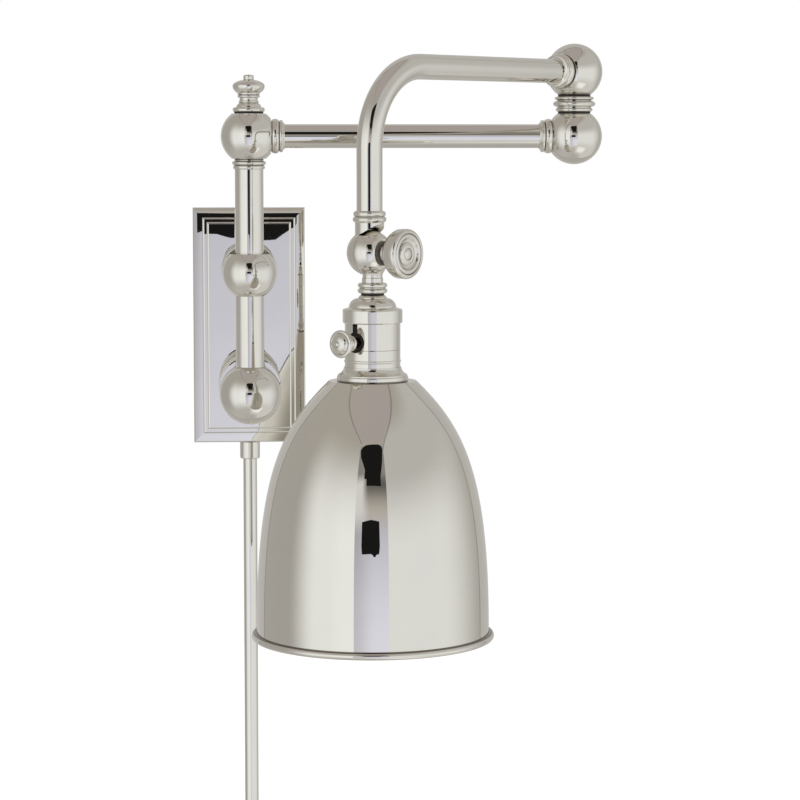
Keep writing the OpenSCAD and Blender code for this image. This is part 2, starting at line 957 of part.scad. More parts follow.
// The shell, with a raised bead, a turned groove above it and the keyhole slot that lets it
// slide down over the turn key
module socket_shell() {
  slot = 3.7;
  window = 12.6;
  groove = 0.25;
  groove_z = 58.9;
  bead = 0.4;
  bead_z = 66.8;
  bead_h = 1.6;
  color(nickel)
    at_head()
      difference() {
        turned(concat(
          [[shell_r - shell_t, -shell_bottom], [shell_r, -shell_bottom]],
          ring(-bead_z, bead_h - bead_z, shell_r, shell_r + bead, 6),
          [for (i = [-1:1]) [shell_r - (i == 0 ? groove : 0), groove * i - groove_z]],
          [[shell_r, -shell_top], [shell_r - shell_t, -shell_top]]
        ));
        translate([0, 0, -key_z])
          along_x()
            cylinder(d = window, h = shell_od);
        translate([0, -slot / 2, -key_z])
          cube([shell_od, slot, shell_od]);
      }
}

// The insulating paper sleeve inside the shell
module socket_liner() {
  color("#b9a27c")
    at_head()
      difference() {
        translate([0, 0, -shell_bottom + 1])
          tube(2 * liner_r, 2 * (liner_r - liner_t), shell_bottom - 1 - base_top);
        translate([0, 0, -key_z])
          along_x()
            cylinder(r = key_stem_r + 1.4, h = shell_od);
      }
}

// The moulded switch body that the key turns in and the screw shell hangs from
module socket_base() {
  color(black)
    at_head()
      difference() {
        union() {
          translate([0, 0, -base_bottom])
            cylinder(r = base_r, h = base_bottom - base_top);
          translate([0, 0, -base_top])
            cylinder(r = 9, h = base_top - hub_top);
        }
        translate([key_tip - 0.3, 0, -key_z])
          along_x()
            cylinder(r = key_tip_r + run_c, h = base_r);
        translate([12.2, 0, -key_z])
          along_x()
            cylinder(r = key_stem_r + 0.6, h = base_r);
      }
}

// A thread's wave down a turned piece, from height z, eight points to each turn
function wave(r, z, turns) = [
  for (i = [0:8 * turns])
    [r + thread_h * cos(45 * i), z - pitch * i / 8]
];

// The threaded shell that the bulb screws into
module screw_shell() {
  turns = 5;
  hole = 4;
  top = base_bottom + thread_t;
  out_r = thread_r + thread_t;
  color(brass)
    at_head()
      turned(concat(
        [[hole, -base_bottom], [out_r + thread_h, -base_bottom]],
        wave(out_r, -top, turns),
        reversed(wave(thread_r, -top, turns)),
        [[hole, -top]]
      ));
}

module centre_contact() {
  color(brass)
    at_head() {
      translate([0, 0, -base_bottom - contact_t])
        cylinder(r = 3, h = contact_t);
      translate([0, 0, -bulb_top])
        cylinder(r = 1.8, h = bulb_top - base_bottom - contact_t);
    }
}

// The flared ring that carries the shade at the foot of the shell
module shade_fitter() {
  hole = shell_r + fit_c;
  r = flange_od / 2;
  edge = 0.8;
  edge_h = 3.2;
  flare = 5.2;
  flare_h = 9;
  color(nickel)
    at_head()
      translate([0, 0, -fitter_bottom])
        turned(concat(
          [[hole, 0], [r - edge / 2, 0]],
          arc(r - edge, edge, edge, -60, 0, 3),
          arc(r - edge, edge_h - edge, edge, 0, 80, 4),
          [[r - 0.6, edge_h + 0.6]],
          arc(r + 0.9, flare_h, flare, -110, -170, 8),
          [[hole + 0.5, fitter_bottom - fitter_top], [hole, fitter_bottom - fitter_top]]
        ));
}

// The threaded ring under the shade's top, which clamps it to the fitter
module shade_ring() {
  hole = shell_r + fit_c;
  ring_h = 3.2;
  color(brass)
    at_head()
      translate([0, 0, -shade_top - shade_t - 0.1 - ring_h])
        turned([
          [hole, 0], [hole + 2.2, 0], [hole + 2.2, ring_h - 1.4], [hole + 5, ring_h - 1],
          [hole + 5, ring_h], [hole, ring_h]
        ]);
}

// Outline of the shade's wall, drawn in by a distance from the outer face
function shade_wall(inset, n) =
  let (
    p = [shoulder_r - 0.4 * inset, -shade_top - inset],
    q = [shoulder_r + shoulder_out - 0.7 * inset, -shade_top - shoulder_down - 0.7 * inset],
    r = [shade_r - inset, belly - mouth_z],
    s = [shade_r - inset, -mouth_z]
  )
  [for (i = [0:n]) cubic(p, q, r, s, i / n)];

module shade() {
  hole = shell_r + fit_c;
  steps = 36;
  color(nickel)
    at_head()
      turned(concat(
        [[hole, -shade_top]],
        shade_wall(0, steps),
        reversed(shade_wall(shade_t, steps)),
        [[hole, -shade_top - shade_t]]
      ));
}

// The rolled bead, which wraps the edge of the shade's wall
module shade_rim() {
  wrap = 0.6;
  color(nickel)
    at_head()
      translate([0, 0, -mouth_z])
        difference() {
          rotate_extrude()
            translate([shade_r - shade_t / 2 + bead_r - wrap, wrap - bead_r])
              circle(r = bead_r);
          cylinder(r = shade_r + fit_c, h = bead_r);
        }
}

// Outline of the bulb's glass from its neck to its round end, drawn in by a distance
function bulb_wall(inset) =
  let (
    r = bulb_od / 2 - inset,
    centre = bulb_od / 2 - bulb_top - bulb_l,
    p = [bulb_neck_r - inset, -bulb_neck - 4],
    q = [bulb_neck_r + 0.4 - inset, -bulb_neck - 18],
    handle = [r, centre + 22]
  )
  concat(
    [[bulb_neck_r - inset, -bulb_neck]],
    [for (i = [0:9]) cubic(p, q, handle, [r, centre], i / 10)],
    arc(0, centre, r, 0, -90, 12)
  );

// The bulb's thin glass: a round end that draws in to the cap
module bulb_glass() {
  color("#f4efe2")
    at_head()
      turned(concat(bulb_wall(0), reversed(bulb_wall(bulb_wall_t))));
}

// The bulb's threaded cap, with the tip that meets the contact
module bulb_cap() {
  crest = thread_r - 0.85;
  bore = crest - thread_h - thread_t;
  thread_top = bulb_top + 4.4;
  color(brass)
    at_head()
      turned(concat(
        [[0, -bulb_top - 0.05], [4.2, -bulb_top - 0.05], [4.8, -bulb_top - 0.6]],
        [[crest - 1, -bulb_top - 2.6]],
        wave(crest, -thread_top, 4),
        [[bulb_neck_r, -bulb_neck], [bore, -bulb_neck], [bore, -thread_top]],
        [[5, -bulb_top - 2.6], [0, -bulb_top - 2.6]]
      ));
}

// The key's stem, turned down where it runs in the switch
module key_stem() {
  color(brass)
    at_head()
      translate([0, 0, -key_z])
        along_x()
          turned([
            [0, key_tip], [key_tip_r, key_tip], [key_tip_r, 15.6], [key_stem_r, 15.8],
            [key_stem_r, key_face - 6], [0, key_face - 6]
          ]);
}

// The key's button, measured back from its face: a ringed hub, a flange, a dome and a nub
module key_button() {
  hole = key_stem_r + fit_c;
  r = key_od / 2;
  color(nickel)
    at_head()
      translate([key_face, 0, -key_z])
        along_x()
          turned(concat(
            [[hole, -14.4], [4.3, -14.4]],
            ring(-14.2, -12, 4.4, 5.1),
            ring(-11.7, -10, 4.1, 4.7),
            [[3.5, -9.7], [3.5, -8.6], [5, -7.8], [r - 1.4, -6.2]],
            arc(r - 1, -4.6, 1, -60, 70, 5),
            [[r - 1.6, -3.6], [r - 2.1, -3.9]],
            oval(0, -3.8, r - 2.3, 3.1, 4, 72, 8),
            [[1.7, -1.1]],
            oval(0, -0.9, 1.5, 0.9, 10, 90, 5),
            [[0, -5.8], [hole, -5.8]]
          ));
}

backplate();
wall_bracket();
ground_screw();
plate_screws();
lower_standoff();
upper_standoff();
standoff_nuts();
post_tube();
post_collar();
pivot_stem();
pivot_washer_lower();
pivot_washer_upper();
finial();
cord_cover_coupling();
cord_cover_nut();
cord_cover_tube();
cord_cover_bushing();
knuckle_ball();
inner_arm_collar();
lower_arm_tube();
outer_arm_collar();
elbow_lower_ball();
elbow_pivot();
elbow_washer_lower();
elbow_rings();
elbow_washer_upper();
elbow_upper_ball();
upper_arm_collar();
upper_arm_tube();
drop_fitting();
clamp_knob();
clamp_stud();
clamp_washer();
head_fitting();
neck_collar();
socket_washer();
socket_cap();
socket_shell();
socket_liner();
socket_base();
screw_shell();
centre_contact();
shade_fitter();
shade_ring();
shade();
shade_rim();
bulb_glass();
bulb_cap();
key_stem();
key_button();
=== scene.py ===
import json
import math

import bmesh
import bpy
from mathutils import Matrix, Vector


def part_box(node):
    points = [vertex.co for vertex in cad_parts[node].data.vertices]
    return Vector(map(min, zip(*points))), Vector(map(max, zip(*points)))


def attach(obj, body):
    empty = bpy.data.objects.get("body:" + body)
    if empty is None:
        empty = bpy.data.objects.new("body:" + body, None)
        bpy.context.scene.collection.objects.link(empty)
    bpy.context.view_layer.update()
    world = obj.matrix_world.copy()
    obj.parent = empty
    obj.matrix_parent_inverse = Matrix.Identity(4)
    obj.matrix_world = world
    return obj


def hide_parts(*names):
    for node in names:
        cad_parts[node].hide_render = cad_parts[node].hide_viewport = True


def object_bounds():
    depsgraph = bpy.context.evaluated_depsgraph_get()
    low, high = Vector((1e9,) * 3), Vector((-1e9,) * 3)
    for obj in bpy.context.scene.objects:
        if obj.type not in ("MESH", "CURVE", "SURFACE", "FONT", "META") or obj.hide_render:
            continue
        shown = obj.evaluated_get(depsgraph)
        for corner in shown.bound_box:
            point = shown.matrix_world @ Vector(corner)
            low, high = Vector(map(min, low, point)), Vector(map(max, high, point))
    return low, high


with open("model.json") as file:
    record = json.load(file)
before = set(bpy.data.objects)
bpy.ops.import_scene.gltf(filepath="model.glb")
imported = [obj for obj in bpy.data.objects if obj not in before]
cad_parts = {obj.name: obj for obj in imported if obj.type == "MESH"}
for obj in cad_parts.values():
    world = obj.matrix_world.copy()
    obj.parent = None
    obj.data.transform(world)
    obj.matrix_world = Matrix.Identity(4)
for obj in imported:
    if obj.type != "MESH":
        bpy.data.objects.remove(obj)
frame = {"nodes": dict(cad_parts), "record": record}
cad_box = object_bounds()
scene = bpy.context.scene
scene.view_settings.view_transform = "Standard"

# The camera
# It stands 1.86 m in front of the wall, a little left of the plate's middle and about as high
# as the lower arm, and looks slightly down through a long lens.
CAMERA_PLACE = (-0.012, -1.861, 0.129)
CAMERA_YAW = -3.6
CAMERA_PITCH = 5.6
CAMERA_LENS = 120.4
CAMERA_SENSOR = 36
camera = bpy.data.objects.new("camera", bpy.data.cameras.new("camera"))
scene.collection.objects.link(camera)
camera.data.lens = CAMERA_LENS
camera.data.sensor_width = CAMERA_SENSOR
camera.matrix_world = (
    Matrix.Translation(CAMERA_PLACE)
    @ Matrix.Rotation(math.radians(CAMERA_YAW), 4, "Z")
    @ Matrix.Rotation(math.radians(90 - CAMERA_PITCH), 4, "X")
)
scene.camera = camera


# The studio
# A tent of pale cloth, which polished metal shows all round: bright at the two sides, dimmer
# behind the lamp, overhead and below, where one patch on the right is bright, with a dark
# seam where each side meets the back, and a hemmed panel between two folds overhead.
def node(tree, kind, **sockets):
    """A node of that kind. Its sockets are set by name or by _number, or linked to a given socket."""
    made = tree.nodes.new(kind)
    for name, value in sockets.items():
        key = int(name[1:]) if name[1:].isdigit() else name.replace("_", " ")
        if isinstance(value, bpy.types.NodeSocket):
            tree.links.new(value, made.inputs[key])
        else:
            made.inputs[key].default_value = value
    return made


def maths(tree, operation, a, b=0.0):
    made = node(tree, "ShaderNodeMath", _0=a, _1=b)
    made.operation = operation
    return made.outputs[0]


def fade(tree, value, start, end, low=0.0, high=1.0):
    """Goes smoothly from low to high as the value goes from start to end."""
    made = node(tree, "ShaderNodeMapRange", Value=value, From_Min=start, From_Max=end)
    made.inputs["To Min"].default_value = low
    made.inputs["To Max"].default_value = high
    made.interpolation_type = "SMOOTHSTEP"
    return made.outputs[0]


def mixed(tree, share, a, b, blend="MIX"):
    """Colour a with colour b mixed in by a share, which may itself vary."""
    made = tree.nodes.new("ShaderNodeMix")
    made.data_type = "RGBA"
    made.blend_type = blend
    for key, value in ((0, share), (6, a), (7, b)):
        if isinstance(value, bpy.types.NodeSocket):
            tree.links.new(value, made.inputs[key])
        else:
            made.inputs[key].default_value = value
    return made.outputs[2]


def grey(level, warmth=0.0):
    """A light's colour: its level, a little warmer or cooler."""
    return (level * (1 + warmth), level, level * (1 - warmth), 1)


def between(tree, value, low, high, soft):
    """1 where the value is between low and high, with soft edges."""
    rise = fade(tree, value, low - soft, low + soft)
    fall = fade(tree, value, high - soft, high + soft, 1.0, 0.0)
    return maths(tree, "MULTIPLY", rise, fall)


def laid(tree, cloth, *changes):
    """The cloth with its changes: each by which value, from where to where, and to what colour."""
    for value, start, end, colour in changes:
        cloth = mixed(tree, fade(tree, value, start, end), cloth, colour)
    return cloth


world = bpy.data.worlds.new("studio")
scene.world = world
world.use_nodes = True
tent = world.node_tree
tent.nodes.clear()
direction = tent.nodes.new("ShaderNodeTexCoord").outputs["Generated"]
parts = node(tent, "ShaderNodeSeparateXYZ", Vector=direction)
turn = maths(tent, "ARCTAN2", parts.outputs["X"], maths(tent, "MULTIPLY", parts.outputs["Y"], -1.0))
side = maths(tent, "DEGREES", turn)
height = maths(tent, "DEGREES", maths(tent, "ARCSINE", parts.outputs["Z"]))

# Side and height are in degrees: side from the camera to the right, height from the horizon up.
CEILING = (0.485, 0.457, 0.425, 1)
SHADED = grey(0.46, 0.035)
left_cloth = laid(
    tent,
    SHADED,
    (side, -96, -61, grey(1.04, -0.02)),
    (side, -50, -34, grey(1.09, -0.025)),
    (height, 4, 52, CEILING),
    (height, -16, -58, grey(0.58, 0.02)),
)
right_cloth = laid(
    tent,
    grey(0.96, -0.02),
    (side, 70, 140, SHADED),
    (height, 2, 30, grey(0.6, 0.01)),
    (height, 50, 68, CEILING),
    (height, -16, -44, grey(0.76, 0.01)),
)
cloth = laid(tent, left_cloth, (side, -6, 6, right_cloth))

BACK_LEFT, BACK_RIGHT = (-137, -141), (128, 132)
back = maths(tent, "MAXIMUM", fade(tent, side, *BACK_LEFT), fade(tent, side, *BACK_RIGHT))
back_cloth = laid(tent, grey(0.56, 0.02), (height, -20, -60, grey(0.5, 0.03)))
cloth = mixed(tent, back, cloth, back_cloth)

PATCH_SIDES, PATCH_HEIGHTS = (14, 62), (-66, -44)
patch = between(tent, side, *PATCH_SIDES, 9)
patch = maths(tent, "MULTIPLY", patch, between(tent, height, *PATCH_HEIGHTS, 5))
cloth = mixed(tent, patch, cloth, grey(1.1))
cloth = laid(tent, cloth, (height, -68, -84, grey(0.54, 0.02)))

SEAM_LEFT, SEAM_RIGHT, SEAM_HEIGHTS = (-140.2, -138.2), (129, 131), (-60, 55)
SEAM_SHARE = 0.5
seam = between(tent, side, *SEAM_LEFT, 0.5)
seam = maths(tent, "MAXIMUM", seam, between(tent, side, *SEAM_RIGHT, 0.5))
seam = maths(tent, "MULTIPLY", seam, between(tent, height, *SEAM_HEIGHTS, 8))
cloth = mixed(tent, maths(tent, "MULTIPLY", seam, SEAM_SHARE), cloth, grey(0.16))

# Overhead a place is known by its slope to the side, and the panel widens towards the top.
PANEL_CLOTH = (0.49, 0.45, 0.44, 1)
PANEL_START, PANEL_SIDES = (42, 45), (-0.318, 0.232)
PANEL_WIDENS = 1.7
FOLD_LEFT, FOLD_RIGHT = (-0.33, -0.306), (0.22, 0.244)
FOLD_SHARE = 0.6
HEM_SIDES, HEM_PLACE = (-0.34, 0.25), (0.42, 0.46)
HEM_SHARE = 0.7
deep, upward = parts.outputs["Y"], parts.outputs["Z"]
spread = maths(tent, "MULTIPLY", upward, fade(tent, upward, 0.7, 0.98, 1.0, PANEL_WIDENS))
slope = maths(tent, "DIVIDE", parts.outputs["X"], spread)
overhead = fade(tent, height, *PANEL_START)
above = maths(tent, "MULTIPLY", overhead, fade(tent, deep, 0.5, 0.4))
panel = maths(tent, "MULTIPLY", above, between(tent, slope, *PANEL_SIDES, 0.01))
cloth = mixed(tent, panel, cloth, PANEL_CLOTH)
fold = between(tent, slope, *FOLD_LEFT, 0.008)
fold = maths(tent, "MAXIMUM", fold, between(tent, slope, *FOLD_RIGHT, 0.008))
fold = maths(tent, "MULTIPLY", fold, above)
cloth = mixed(tent, maths(tent, "MULTIPLY", fold, FOLD_SHARE), cloth, grey(0.2))
hem = maths(tent, "MULTIPLY", between(tent, slope, *HEM_SIDES, 0.02), overhead)
hem = maths(tent, "MULTIPLY", hem, between(tent, deep, *HEM_PLACE, 0.015))
cloth = mixed(tent, maths(tent, "MULTIPLY", hem, HEM_SHARE), cloth, grey(0.12))

PLAIN = grey(0.8)
WHITE = grey(1.0)
paths = tent.nodes.new("ShaderNodeLightPath")
seen = paths.outputs["Is Camera Ray"]
mirrored = maths(tent, "MAXIMUM", paths.outputs["Is Glossy Ray"], paths.outputs["Is Transmission Ray"])
light = mixed(tent, mirrored, PLAIN, cloth)
light = mixed(tent, seen, light, WHITE)
surface = node(tent, "ShaderNodeBackground", Color=light, Strength=1.0)
end = tent.nodes.new("ShaderNodeOutputWorld")
tent.links.new(surface.outputs[0], end.inputs["Surface"])


# The gap in the tent
# Behind the camera the cloth is open. Polished metal shows the cooler light of the room
# there, which dims towards the top, and the dark shapes of the stand in front of it.
def card(name, outline, distance):
    """An upright flat card of that outline, in metres across and up, at a distance before the wall."""
    mesh = bpy.data.meshes.new(name)
    mesh.from_pydata([(x, -distance, z) for x, z in outline], [], [tuple(range(len(outline)))])
    made = bpy.data.objects.new(name, mesh)
    scene.collection.objects.link(made)
    made.visible_camera = False
    made.visible_diffuse = False
    made.visible_shadow = False
    shine = bpy.data.materials.new(name)
    shine.use_nodes = True
    shine.node_tree.nodes.clear()
    mesh.materials.append(shine)
    return shine.node_tree


def lit(tree, colour):
    glow = node(tree, "ShaderNodeEmission", Color=colour, Strength=1.0)
    out = tree.nodes.new("ShaderNodeOutputMaterial")
    tree.links.new(glow.outputs[0], out.inputs["Surface"])


def spot_of(tree):
    """The place on the piece, as sockets X, Y and Z."""
    place = tree.nodes.new("ShaderNodeTexCoord").outputs["Object"]
    return node(tree, "ShaderNodeSeparateXYZ", Vector=place).outputs


GAP_LEFT, GAP_RIGHT = -0.715, 0.522
GAP_LOW, GAP_HIGH = -1.6, 2.3
GAP_DISTANCE = 2.25
tree = card(
    "room_light",
    [(GAP_LEFT, GAP_LOW), (GAP_RIGHT, GAP_LOW), (GAP_RIGHT, GAP_HIGH), (GAP_LEFT, GAP_HIGH)],
    GAP_DISTANCE,
)
ROOM_LEFT, ROOM_RIGHT = (0.66, 0.66, 0.75, 1), (0.86, 0.88, 1.04, 1)
BROWN_LEFT, BROWN_RIGHT = (0.82, 0.81, 0.84, 1), (0.58, 0.54, 0.51, 1)
spot = spot_of(tree)
across, up = spot["X"], spot["Z"]
room = laid(tree, ROOM_LEFT, (across, GAP_LEFT, 0.1, ROOM_RIGHT))
room = mixed(tree, 1.0, room, fade(tree, up, -0.6, 0.3, 1.06, 0.74), "MULTIPLY")
brown = laid(tree, BROWN_LEFT, (across, -0.5, -0.1, BROWN_RIGHT))
room = laid(tree, room, (up, 0.1, 0.45, brown))
dim = maths(tree, "MULTIPLY", fade(tree, up, 0.36, 0.86), fade(tree, across, -0.5, -0.2))
room = mixed(tree, dim, room, grey(0.14, 0.04))
room = laid(tree, room, (up, 0.85, 1.15, grey(0.3, 0.04)), (up, 1.95, 2.2, CEILING))
lit(tree, room)

STAND_DISTANCE = 2.24
STAND_BLACK = grey(0.012)
BODY = [
    (-0.43, 0.29), (-0.44, 0.05), (-0.42, -0.015), (-0.10, -0.012), (-0.04, -0.02), (0.0, -0.035),
    (0.05, -0.037), (0.09, -0.02), (0.19, -0.012), (0.215, 0.05), (0.2, 0.29), (-0.1, 0.31),
]
HOOD = [
    (-0.29, 0.82), (0.3, 0.8), (0.3, 1.0), (0.36, 1.2), (0.42, 1.45), (0.48, 1.9),
    (0.44, 2.05), (0.3, 2.13), (-0.4, 2.14), (-0.6, 2.06), (-0.69, 1.92), (-0.62, 1.6),
    (-0.5, 1.4), (-0.38, 1.18), (-0.4, 0.98), (-0.3, 0.96),
]
for name, outline in (("stand_body", BODY), ("stand_hood", HOOD)):
    lit(card(name, outline, STAND_DISTANCE), STAND_BLACK)

# The floor
# A round pale floor below the lamp. It shows white and keeps the lamp's shadow, and polished
# metal shows the tent's own cloth in its place. From below it is clear.
FLOOR_DROP = 0.14
FLOOR_RADIUS = 2.0
FLOOR_SIDES = 96
FLOOR_GLOW = 0.4
floor_mesh = bpy.data.meshes.new("floor")
angles = [math.tau * i / FLOOR_SIDES for i in range(FLOOR_SIDES)]
edge = [(FLOOR_RADIUS * math.cos(a), FLOOR_RADIUS * math.sin(a), 0) for a in angles]
floor_mesh.from_pydata(edge, [], [tuple(range(FLOOR_SIDES))])
floor = bpy.data.objects.new("floor", floor_mesh)
scene.collection.objects.link(floor)
floor.location = (0, 0, cad_box[0].z - FLOOR_DROP)
floor.visible_glossy = False
paper = bpy.data.materials.new("floor_paper")
paper.use_nodes = True
tree = paper.node_tree
tree.nodes.clear()
paths = tree.nodes.new("ShaderNodeLightPath")
shown = maths(tree, "MAXIMUM", paths.outputs["Is Camera Ray"], paths.outputs["Is Transmission Ray"])
matt = node(tree, "ShaderNodeBsdfDiffuse", Color=PLAIN)
glow = node(tree, "ShaderNodeEmission", Color=WHITE, Strength=maths(tree, "MULTIPLY", shown, FLOOR_GLOW))
both = tree.nodes.new("ShaderNodeAddShader")
tree.links.new(matt.outputs[0], both.inputs[0])
tree.links.new(glow.outputs[0], both.inputs[1])
below = node(tree, "ShaderNodeMixShader", _0=tree.nodes.new("ShaderNodeNewGeometry").outputs["Backfacing"])
tree.links.new(both.outputs[0], below.inputs[1])
tree.links.new(tree.nodes.new("ShaderNodeBsdfTransparent").outputs[0], below.inputs[2])
end = tree.nodes.new("ShaderNodeOutputMaterial")
tree.links.new(below.outputs[0], end.inputs["Surface"])
floor_mesh.materials.append(paper)

# The lamp over the set
# One wide soft light from the upper left, turned to the lamp, for the shadow and for what
# isn't metal. Polished metal doesn't show it.
LIGHT_SIZE = 1.2
LIGHT_POWER = 12
LIGHT_PLACE = (-1.1, -1.3, 1.5)
LIGHT_AIM = (0, -0.1, 0)
key_light = bpy.data.objects.new("key_light", bpy.data.lights.new("key_light", "AREA"))
scene.collection.objects.link(key_light)
key_light.data.shape = "SQUARE"
key_light.data.size = LIGHT_SIZE
key_light.data.energy = LIGHT_POWER
key_light.location = LIGHT_PLACE
key_light.rotation_euler = (Vector(LIGHT_AIM) - key_light.location).to_track_quat("-Z", "Y").to_euler()
key_light.visible_glossy = False


# Wall plate
# A rectangular brass plate with a chamfered border, two rounded steps and a flat panel. It is
# nickel plated and buffed by hand, so that its flats are mirrors with a slight wave. Painted
# shade darkens its creases, as it does on every buffed metal here.
def group(name, inputs, outputs):
    """An empty node group with its sockets; returns the tree, its input and its output node."""
    made = bpy.data.node_groups.new(name, "ShaderNodeTree")
    for label, kind, value in inputs:
        socket = made.interface.new_socket(name=label, in_out="INPUT", socket_type=kind)
        socket.default_value = value
    for label, kind in outputs:
        made.interface.new_socket(name=label, in_out="OUTPUT", socket_type=kind)
    return made, made.nodes.new("NodeGroupInput"), made.nodes.new("NodeGroupOutput")


NICKEL = (0.74, 0.715, 0.645, 1)
NICKEL_HAZED = (0.71, 0.69, 0.64, 1)
CREASE_SHADE = (0.17, 0.15, 0.12, 1)
CREASE_REACH = 0.003
CREASE_SAMPLES = 8
CREASE_START, CREASE_FULL = 0.75, 0.2
CREASE_SHARE = 0.8
CLOUD_SCALE = 38.0
CLOUD_SHARE = 0.8
buffing, given, put_out = group(
    "buffed_metal_and_crease_shade",
    [
        ("Warm", "NodeSocketColor", NICKEL),
        ("Cool", "NodeSocketColor", NICKEL_HAZED),
        ("Crease", "NodeSocketColor", CREASE_SHADE),
        ("Clean", "NodeSocketFloat", 0.01),
        ("Hazy", "NodeSocketFloat", 0.04),
        ("Grain", "NodeSocketFloat", 900.0),
    ],
    [("Color", "NodeSocketColor"), ("Roughness", "NodeSocketFloat"), ("Height", "NodeSocketFloat")],
)
place = buffing.nodes.new("ShaderNodeTexCoord").outputs["Object"]
cloud = node(buffing, "ShaderNodeTexNoise", Vector=place, Scale=CLOUD_SCALE, Detail=4.0, Roughness=0.6)
grain = node(buffing, "ShaderNodeTexNoise", Vector=place, Detail=2.0, Roughness=0.5)
buffing.links.new(given.outputs["Grain"], grain.inputs["Scale"])
haze = maths(buffing, "MULTIPLY", fade(buffing, cloud.outputs["Fac"], 0.4, 0.75), CLOUD_SHARE)
haze = maths(buffing, "ADD", haze, maths(buffing, "MULTIPLY", grain.outputs["Fac"], 1 - CLOUD_SHARE))
# Painted shade: the colour darkens towards the crease colour where nearby surfaces close in, in creases and
# grooves.
crease = node(buffing, "ShaderNodeAmbientOcclusion", Distance=CREASE_REACH)
crease.samples = CREASE_SAMPLES
dark = fade(buffing, crease.outputs["AO"], CREASE_START, CREASE_FULL)
colour = mixed(buffing, haze, given.outputs["Warm"], given.outputs["Cool"])
colour = mixed(buffing, maths(buffing, "MULTIPLY", dark, CREASE_SHARE), colour, given.outputs["Crease"])
span = maths(buffing, "SUBTRACT", given.outputs["Hazy"], given.outputs["Clean"])
rough = maths(buffing, "ADD", given.outputs["Clean"], maths(buffing, "MULTIPLY", haze, span))
buffing.links.new(colour, put_out.inputs["Color"])
buffing.links.new(rough, put_out.inputs["Roughness"])
buffing.links.new(grain.outputs["Fac"], put_out.inputs["Height"])


WAVE_SCALE = 30.0


def metal(name, warm, cool, clean, hazy, relief, wave=0.0):
    """A metal polished unevenly, from clean to hazy, with painted shade in its creases. Relief and
    wave are the heights of its grain and of its slow wave."""
    made = bpy.data.materials.new(name)
    made.use_nodes = True
    tree = made.node_tree
    shader = tree.nodes["Principled BSDF"]
    shader.inputs["Metallic"].default_value = 1.0
    skin = tree.nodes.new("ShaderNodeGroup")
    skin.node_tree = buffing
    for label, value in (("Warm", warm), ("Cool", cool), ("Clean", clean), ("Hazy", hazy)):
        skin.inputs[label].default_value = value
    tree.links.new(skin.outputs["Color"], shader.inputs["Base Color"])
    tree.links.new(skin.outputs["Roughness"], shader.inputs["Roughness"])
    bump = node(tree, "ShaderNodeBump", Strength=1.0, Distance=relief, Height=skin.outputs["Height"])
    if wave:
        place = tree.nodes.new("ShaderNodeTexCoord").outputs["Object"]
        slow = node(tree, "ShaderNodeTexNoise", Vector=place, Scale=WAVE_SCALE, Detail=0.0)
        swell = node(tree, "ShaderNodeBump", Strength=1.0, Distance=wave, Height=slow.outputs["Fac"])
        tree.links.new(swell.outputs[0], bump.inputs["Normal"])
    tree.links.new(bump.outputs[0], shader.inputs["Normal"])
    return made


def dress(material, slot, *names):
    """Gives CAD nodes their finish."""
    for name in names:
        obj = frame["nodes"][name]
        obj.data.materials.clear()
        obj.data.materials.append(material)


MICRON = 0.000001
plate_nickel = metal(
    "plate_nickel", NICKEL, NICKEL_HAZED, clean=0.004, hazy=0.016, relief=0.05 * MICRON, wave=190 * MICRON
)
dress(plate_nickel, "polished_nickel", "backplate")

# Crown of the plate's border
# The border isn't quite flat: buffing leaves it a slight crown, highest at the inner step,
# which is laid on the plate here as a thin mitred frame.
MM = 0.001
BORDER_W = 6.5
BORDER_D = 15
BORDER_EDGE = 0.8
CROWN = 0.34
CROWN_SINK = 0.1
plate_low, plate_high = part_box("backplate")
crown_steps = 10
shares = [i / crown_steps for i in range(crown_steps + 1)]
crown = [(BORDER_W - (BORDER_W - BORDER_EDGE) * t, BORDER_D + CROWN * (1 - t * t)) for t in shares]
crown += [(BORDER_EDGE, BORDER_D - CROWN_SINK), (BORDER_W, BORDER_D - CROWN_SINK)]
mesh = bpy.data.meshes.new("plate_crown")
framing = bmesh.new()
loops = []
for inset, depth in crown:
    left, right = plate_low.x + inset * MM, plate_high.x - inset * MM
    low, high = plate_low.z + inset * MM, plate_high.z - inset * MM
    corners = ((left, low), (right, low), (right, high), (left, high))
    loops.append([framing.verts.new((x, plate_high.y - depth * MM, z)) for x, z in corners])
for row, following in zip(loops, loops[1:] + loops[:1]):
    for i in range(4):
        j = (i + 1) % 4
        face = framing.faces.new((row[i], row[j], following[j], following[i]))
        face.smooth = True
for row, following in zip(loops, loops[1:] + loops[:1]):
    for i in range(4):
        framing.edges.get((row[i], following[i])).smooth = False
for row in (loops[0], loops[-1], loops[-2], loops[-3]):
    for i in range(4):
        framing.edges.get((row[i], row[(i + 1) % 4])).smooth = False
bmesh.ops.recalc_face_normals(framing, faces=framing.faces)
framing.to_mesh(mesh)
framing.free()
plate_crown = bpy.data.objects.new("plate_crown", mesh)
scene.collection.objects.link(plate_crown)
mesh.materials.append(plate_nickel)
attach(plate_crown, "root")

# Bracket and its fastenings
# A cross bar of zinc plated steel, which the wall box's screws hold, with a green earth
# screw. Two nickel plated grub screws hold the plate to its ears, and zinc plated nuts hold
# the standoffs to the plate.
STEEL = (0.55, 0.56, 0.58, 1)
STEEL_SHADED = (0.43, 0.44, 0.49, 1)
zinc = metal("zinc_steel", STEEL, STEEL_SHADED, clean=0.24, hazy=0.42, relief=2 * MICRON)
dress(zinc, "zinc_steel", "wall_bracket", "standoff_nuts")


COAT_UNEVEN = 0.08
COAT_RELIEF = 3 * MICRON


